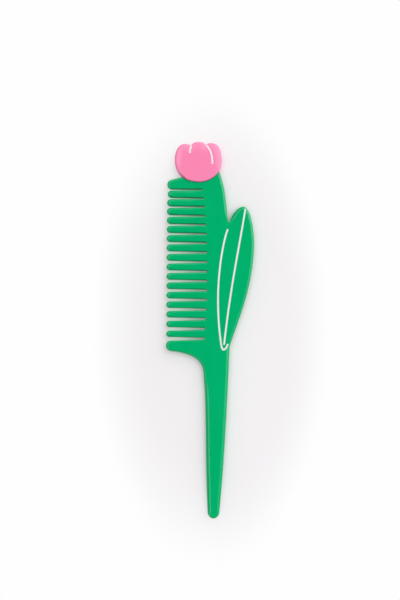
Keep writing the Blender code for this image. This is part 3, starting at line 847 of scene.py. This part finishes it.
def wiped_enamel(name, thin):
    """White enamel paint flooded into the engraved lines and wiped level. It dries satin, a little uneven
    in cover, and thins out where it wets the walls, so that the plastic tints it there."""
    material, tree, place = new_material(name)
    cloud = add(tree, "ShaderNodeTexNoise", {
        "Vector": place, "Scale": per_metre(ENAMEL_CLOUD_SIZE), "Detail": 3.0,
    })
    across = add(tree, "ShaderNodeAttribute", attribute_name="across")
    rim = add(tree, "ShaderNodeMapRange", {
        "Value": across.outputs["Fac"], "From Min": ENAMEL_RIM_START, "From Max": 1.0,
    })
    cover = add(tree, "ShaderNodeMath", {
        0: cloud.outputs["Fac"], 1: ENAMEL_CLOUD_SHARE, 2: rim.outputs["Result"],
    }, operation="MULTIPLY_ADD")
    tint = add(tree, "ShaderNodeValToRGB", {"Fac": cover.outputs["Value"]})
    tint.color_ramp.elements[0].position = ENAMEL_THINNING_START
    tint.color_ramp.elements[0].color = linear(ENAMEL_FULL)
    tint.color_ramp.elements[1].position = 1.0
    tint.color_ramp.elements[1].color = linear(thin)
    rough = add(tree, "ShaderNodeMapRange", {
        "Value": cloud.outputs["Fac"], "From Min": ENAMEL_CLOUD_LOW, "From Max": ENAMEL_CLOUD_HIGH,
        "To Min": ENAMEL_ROUGH_LOW, "To Max": ENAMEL_ROUGH_HIGH,
    })
    skin = add(tree, "ShaderNodeBump", {"Height": cloud.outputs["Fac"], "Distance": ENAMEL_RIPPLE})
    shader = add(tree, "ShaderNodeBsdfPrincipled", {
        "Base Color": tint.outputs["Color"], "Roughness": rough.outputs["Result"], "IOR": ENAMEL_INDEX,
        "Normal": skin.outputs["Normal"],
    })
    return surfaced(material, shader.outputs["BSDF"])


# The adhesive film: its colour, how clear and how smooth it is, and its ripples
CEMENT_COLOUR, CEMENT_CLEARNESS = "#F3EFDB", 0.85
CEMENT_ROUGHNESS, CEMENT_INDEX = 0.18, 1.47
CEMENT_RIPPLE_SIZE, CEMENT_RIPPLE = 1.5 * MM, 0.01 * MM


def cured_adhesive(name):
    """Clear solvent cement, cured to a faintly yellow film."""
    material, tree, place = new_material(name)
    ripple = add(tree, "ShaderNodeTexNoise", {"Vector": place, "Scale": per_metre(CEMENT_RIPPLE_SIZE)})
    bump = add(tree, "ShaderNodeBump", {"Height": ripple.outputs["Fac"], "Distance": CEMENT_RIPPLE})
    shader = add(tree, "ShaderNodeBsdfPrincipled", {
        "Base Color": linear(CEMENT_COLOUR), "Roughness": CEMENT_ROUGHNESS, "IOR": CEMENT_INDEX,
        "Transmission Weight": CEMENT_CLEARNESS, "Normal": bump.outputs["Normal"],
    })
    return surfaced(material, shader.outputs["BSDF"])


# The floor: paper of this colour, that fades to white from one distance to another. A share of what the
# camera sees of it is a painted fill glow of plain colour, which keeps the shadows as light as a studio's
# bounced light would: more on the left than on the right, though no card or lamp stands there, and on the
# right the glow is greyer, painted shade. Close to the comb, where it covers part of the sky, that share is
# less, a painted contact shade, and on the right the paper's colour there is painted darker, a painted
# contact shadow. Among the teeth the glow is painted green, standing in for light bounced off their sides,
# and falls off from their tips to their roots, painted shade that deepens to the roots.
FLOOR_HALF_SIDE, FLOOR_DROP = 3000 * MM, 0.02 * MM
PAPER = "#F1EEF0"
WHITE = "#FEFEFE"
SHADED_PAPER = "#EEEBEE"
PAINTED_CONTACT_SHADE = "#E3DDE2"
PAINTED_BOUNCE_AMONG_TEETH = "#D8F0E2"
PAINTED_FILL_LEFT, PAINTED_FILL_RIGHT = 0.57, 0.12
PAINTED_FILL_BLEND = (-1 * MM, 5 * MM)
PAINTED_FILL_TIPS, PAINTED_FILL_ROOTS = 0.62, 0.3
ROW_BLEND = 2 * MM
CONTACT_REACH, CONTACT_SHARE = 2.5 * MM, 0.52
HALF_OPEN = 0.5
FADE_START, FADE_END = 26 * MM, 56 * MM
FADE_LENGTHWISE = 0.5


def among_teeth(tree, place):
    """How far a place on the floor is in the row of gaps: one in the box round them, nought outside its
    margin."""
    low = (float(ROW_BLEND / 2 - MIDDLE[0]), float(ROW_FOOT - MIDDLE[1]))
    high = (float(ROOT_LINE), float(GAP_TOPS[0] - MIDDLE[1]))
    middle = tuple((near + far) / 2 for near, far in zip(low, high))
    half = tuple((far - near) / 2 for near, far in zip(low, high))
    off = place
    for operation, other in (
        ("SUBTRACT", (*middle, 0.0)),
        ("ABSOLUTE", (0.0, 0.0, 0.0)),
        ("SUBTRACT", (*half, 1.0)),
        ("MAXIMUM", (0.0, 0.0, 0.0)),
    ):
        off = add(tree, "ShaderNodeVectorMath", {0: off, 1: other}, operation=operation).outputs["Vector"]
    off = add(tree, "ShaderNodeVectorMath", {0: off}, operation="LENGTH").outputs["Value"]
    return add(tree, "ShaderNodeMapRange", {
        "Value": off, "From Max": ROW_BLEND, "To Min": 1.0, "To Max": 0.0,
    }, interpolation_type="SMOOTHSTEP").outputs["Result"]


def away_from_comb(tree, place):
    """How far a place on the floor is on its way to plain white: nought near the comb, one far from it."""
    around = add(tree, "ShaderNodeVectorMath", {
        0: place, 1: (1.0, FADE_LENGTHWISE, 1.0),
    }, operation="MULTIPLY")
    distance = add(tree, "ShaderNodeVectorMath", {0: around.outputs["Vector"]}, operation="LENGTH")
    return add(tree, "ShaderNodeMapRange", {
        "Value": distance.outputs["Value"], "From Min": FADE_START, "From Max": FADE_END,
    }, interpolation_type="SMOOTHSTEP").outputs["Result"]


def matt_paper(name):
    """Pale matt paper, lit by the lights and, for the camera, gloss and glass, in part by a painted fill
    glow, with painted contact shade near the comb.
    """
    material, tree, place = new_material(name)
    sideways = add(tree, "ShaderNodeSeparateXYZ", {"Vector": place}).outputs["X"]
    rightward = add(tree, "ShaderNodeMapRange", {
        "Value": sideways, "From Min": PAINTED_FILL_BLEND[0], "From Max": PAINTED_FILL_BLEND[1],
    }, interpolation_type="SMOOTHSTEP").outputs["Result"]
    among = among_teeth(tree, place)
    far = away_from_comb(tree, place)
    # Painted contact shadow: on the right, the paper's colour darkens towards the comb by how much of the
    # sky it covers.
    sky_share = add(tree, "ShaderNodeAmbientOcclusion", {"Distance": CONTACT_REACH}).outputs["AO"]
    close = add(tree, "ShaderNodeMapRange", {
        "Value": sky_share, "From Min": HALF_OPEN, "From Max": 1.0, "To Min": rightward, "To Max": 0.0,
    })
    sheet = add(tree, "ShaderNodeMix", {
        "Factor": close.outputs["Result"], 6: linear(PAPER), 7: linear(PAINTED_CONTACT_SHADE),
    }, data_type="RGBA")
    paper = add(tree, "ShaderNodeBsdfDiffuse", {"Color": sheet.outputs[2]})
    # The painted fill glow's colour: greyer on the right as painted shade, green among the teeth as painted
    # bounce light, white far off.
    painted_glow = linear(PAPER)
    for blend, colour in ((rightward, SHADED_PAPER), (among, PAINTED_BOUNCE_AMONG_TEETH), (far, WHITE)):
        mixed = add(tree, "ShaderNodeMix", {"Factor": blend, 6: painted_glow, 7: linear(colour)}, data_type="RGBA")
        painted_glow = mixed.outputs[2]
    painted_glow = add(tree, "ShaderNodeEmission", {"Color": painted_glow, "Strength": 1.0})
    # How much of the painted fill glow shows: less close to the comb, which paints contact shade, and more
    # on the left than on the right.
    contact = add(tree, "ShaderNodeMapRange", {
        "Value": sky_share, "From Min": HALF_OPEN, "From Max": 1.0, "To Min": CONTACT_SHARE,
    })
    beside = add(tree, "ShaderNodeMapRange", {
        "Value": rightward, "To Min": PAINTED_FILL_LEFT, "To Max": PAINTED_FILL_RIGHT,
    })
    beside = add(tree, "ShaderNodeMath", {
        0: beside.outputs["Result"], 1: contact.outputs["Result"],
    }, operation="MULTIPLY")
    # Among the teeth the painted green glow falls from their tips to their roots: painted shade that
    # deepens to the roots.
    gap = add(tree, "ShaderNodeMapRange", {
        "Value": sideways, "From Min": float(-MIDDLE[0]), "From Max": float(ROOT_LINE),
        "To Min": PAINTED_FILL_TIPS, "To Max": PAINTED_FILL_ROOTS,
    }, interpolation_type="SMOOTHSTEP")
    near = add(tree, "ShaderNodeMapRange", {
        "Value": among, "To Min": beside.outputs["Value"], "To Max": gap.outputs["Result"],
    })
    share = add(tree, "ShaderNodeMapRange", {"Value": far, "To Min": near.outputs["Result"]})
    path = add(tree, "ShaderNodeLightPath")
    seen = path.outputs["Is Camera Ray"]
    for ray in ("Is Glossy Ray", "Is Transmission Ray"):
        seen = add(tree, "ShaderNodeMath", {0: seen, 1: path.outputs[ray]}, operation="MAXIMUM")
        seen = seen.outputs["Value"]
    share = add(tree, "ShaderNodeMath", {0: seen, 1: share.outputs["Result"]}, operation="MULTIPLY")
    mix = add(tree, "ShaderNodeMixShader", {
        "Fac": share.outputs["Value"], 1: paper.outputs["BSDF"], 2: painted_glow.outputs["Emission"],
    })
    return surfaced(material, mix.outputs["Shader"])


def stage_floor():
    """A wide sheet of pale matt paper that fades to plain white away from the comb."""
    half = FLOOR_HALF_SIDE
    mesh = bpy.data.meshes.new("paper_floor")
    corners = [(-half, -half, 0.0), (half, -half, 0.0), (half, half, 0.0), (-half, half, 0.0)]
    mesh.from_pydata(corners, [], [(0, 1, 2, 3)])
    mesh.materials.append(matt_paper("matt_paper"))
    floor = bpy.data.objects.new("paper_floor", mesh)
    bpy.context.scene.collection.objects.link(floor)
    floor.location.z = -FLOOR_DROP


# The light: a broad soft lamp that leans to the upper right, in a pale room. What gloss shows is held
# apart, as with black flags in a studio: the room dimmed, a dark spot overhead where the camera stands, the
# lamp, and a strip light curved round each side of the spot, the right one fainter. Azimuths run
# anticlockwise from +X, tilts from the zenith.
LIGHT_COLOUR = "#FFFFFF"
ROOM_RADIANCE, LAMP_RADIANCE = 0.62, 1.85
LAMP_AZIMUTH, LAMP_TILT = np.radians(45.0), np.radians(50.0)
LAMP_INNER, LAMP_OUTER = np.radians(24.0), np.radians(46.0)
GLOSS_ROOM, GLOSS_LAMP = 0.12, 2.3
SPOT_INNER, SPOT_OUTER = np.radians(9.0), np.radians(14.0)
STRIP_RADIANCE_LEFT, STRIP_RADIANCE_RIGHT = 1.8, 0.5
STRIP_AZIMUTH = np.radians(172.0)
STRIP_INNER, STRIP_OUTER = np.radians(38.0), np.radians(46.0)
STRIP_SIDE_START, STRIP_SIDE_FULL = 0.1, 0.18


def towards(azimuth, tilt):
    """The direction at an azimuth and a tilt."""
    return Vector((np.sin(tilt) * np.cos(azimuth), np.sin(tilt) * np.sin(azimuth), np.cos(tilt)))


def gloss_radiance(tree, look, height, lamp):
    """What gloss sees by direction: the dimmed room and the lamp, with the strips inside their collar
    added, and the dark spot taken out. It returns the node that holds it."""
    gloss = add(tree, "ShaderNodeMath", {0: lamp, 1: GLOSS_LAMP, 2: GLOSS_ROOM}, operation="MULTIPLY_ADD")
    beside = add(tree, "ShaderNodeVectorMath", {
        0: look, 1: towards(STRIP_AZIMUTH, np.pi / 2),
    }, operation="DOT_PRODUCT")
    strips = [add(tree, "ShaderNodeMapRange", {
        "Value": beside.outputs["Value"], "From Min": side * STRIP_SIDE_START,
        "From Max": side * STRIP_SIDE_FULL, "To Max": radiance,
    }, interpolation_type="SMOOTHSTEP").outputs["Result"] for side, radiance in (
        (1.0, STRIP_RADIANCE_LEFT),
        (-1.0, STRIP_RADIANCE_RIGHT),
    )]
    both = add(tree, "ShaderNodeMath", {0: strips[0], 1: strips[1]})
    collar = add(tree, "ShaderNodeMapRange", {
        "Value": height, "From Min": float(np.cos(STRIP_OUTER)), "From Max": float(np.cos(STRIP_INNER)),
    }, interpolation_type="SMOOTHSTEP")
    gloss = add(tree, "ShaderNodeMath", {
        0: both.outputs["Value"], 1: collar.outputs["Result"], 2: gloss.outputs["Value"],
    }, operation="MULTIPLY_ADD")
    spot = add(tree, "ShaderNodeMapRange", {
        "Value": height, "From Min": float(np.cos(SPOT_OUTER)), "From Max": float(np.cos(SPOT_INNER)),
        "To Min": 1.0, "To Max": 0.0,
    }, interpolation_type="SMOOTHSTEP")
    return add(tree, "ShaderNodeMath", {
        0: gloss.outputs["Value"], 1: spot.outputs["Result"],
    }, operation="MULTIPLY")


def studio_sky():
    """The world, as radiance by direction. The camera sees it white."""
    world = bpy.data.worlds.new("studio")
    bpy.context.scene.world = world
    world.use_nodes = True
    tree = world.node_tree
    tree.nodes.clear()
    look = add(tree, "ShaderNodeTexCoord").outputs["Generated"]
    height = add(tree, "ShaderNodeSeparateXYZ", {"Vector": look}).outputs["Z"]
    near = add(tree, "ShaderNodeVectorMath", {
        0: look, 1: towards(LAMP_AZIMUTH, LAMP_TILT),
    }, operation="DOT_PRODUCT")
    lamp = add(tree, "ShaderNodeMapRange", {
        "Value": near.outputs["Value"],
        "From Min": float(np.cos(LAMP_OUTER)), "From Max": float(np.cos(LAMP_INNER)),
    }, interpolation_type="SMOOTHSTEP").outputs["Result"]
    lit = add(tree, "ShaderNodeMath", {
        0: lamp, 1: LAMP_RADIANCE, 2: ROOM_RADIANCE,
    }, operation="MULTIPLY_ADD")
    matt, shiny = (add(tree, "ShaderNodeBackground", {
        "Color": linear(LIGHT_COLOUR), "Strength": strength.outputs["Value"],
    }).outputs["Background"] for strength in (lit, gloss_radiance(tree, look, height, lamp)))
    plain = add(tree, "ShaderNodeBackground", {"Color": linear(WHITE), "Strength": 1.0})
    path = add(tree, "ShaderNodeLightPath")
    sky = add(tree, "ShaderNodeMixShader", {"Fac": path.outputs["Is Glossy Ray"], 1: matt, 2: shiny})
    mix = add(tree, "ShaderNodeMixShader", {
        "Fac": path.outputs["Is Camera Ray"], 1: sky.outputs["Shader"], 2: plain.outputs["Background"],
    })
    add(tree, "ShaderNodeOutputWorld", {"Surface": mix.outputs["Shader"]})


# The camera looks straight down from arm's length. It stands a little below the middle of the picture, so
# that the sides of the teeth that face the tail show in the gaps. The view's length is measured at the
# height of the comb's widest outline.
PICTURE_MIDDLE = (-4.53 * MM, 13.62 * MM)
CAMERA_HEIGHT = 450 * MM
CAMERA_SHIFT = 0.06
SILHOUETTE_HEIGHT = 3 * MM
VIEW_LENGTH = 270.6 * MM
CLIP_START, CLIP_END = 10 * MM, 20000 * MM
SENSOR = 36.0


def overhead_camera():
    """The camera, with its long side along the comb."""
    data = bpy.data.cameras.new("overhead")
    data.sensor_width = SENSOR
    data.lens = SENSOR * (CAMERA_HEIGHT - SILHOUETTE_HEIGHT) / VIEW_LENGTH
    data.clip_start = CLIP_START
    data.clip_end = CLIP_END
    data.shift_y = CAMERA_SHIFT
    camera = bpy.data.objects.new("overhead", data)
    camera.location = (PICTURE_MIDDLE[0], PICTURE_MIDDLE[1] - CAMERA_SHIFT * VIEW_LENGTH, CAMERA_HEIGHT)
    bpy.context.scene.collection.objects.link(camera)
    bpy.context.scene.camera = camera


def main():
    """Dresses the comb, and sets the stage, the light and the camera."""
    green = tumbled_acetate("tumbled_green_acetate", GREEN_DARK, GREEN_LIGHT, GREEN_INDEX)
    pink = tumbled_acetate("tumbled_pink_acetate", PINK_DARK, PINK_LIGHT, PINK_INDEX)
    leaf_enamel = wiped_enamel("wiped_white_enamel_on_green", ENAMEL_THIN_ON_GREEN)
    petal_enamel = wiped_enamel("wiped_white_enamel_on_pink", ENAMEL_THIN_ON_PINK)
    body = make_body(green)
    flower = make_flower(pink)
    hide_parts("comb_body")
    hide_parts("flower_head")
    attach(body, "root")
    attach(flower, "root")
    face = level_at(BODY_THICKNESS)
    for name, node, path, level, enamel in (
        ("leaf_edge_line", "leaf_edge_enamel", LEAF_EDGE_LINE, face, leaf_enamel),
        ("leaf_midrib_line", "leaf_midrib_enamel", MIDRIB_LINE, face, leaf_enamel),
        ("petal_line_left", "petal_line_enamel_left", PETAL_LEFT_LINE, flower_face, petal_enamel),
        ("petal_line_right", "petal_line_enamel_right", PETAL_RIGHT_LINE, flower_face, petal_enamel),
    ):
        line = run_along(name, path, enamel_profile(), level)
        shaded(line, enamel)
        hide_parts(node)
        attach(line, "root")
    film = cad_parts["flower_bond_film"]
    film.data.materials.clear()
    film.data.materials.append(cured_adhesive("cured_clear_cement"))
    stage_floor()
    studio_sky()
    overhead_camera()
    bpy.context.scene.view_settings.view_transform = "Standard"


main()
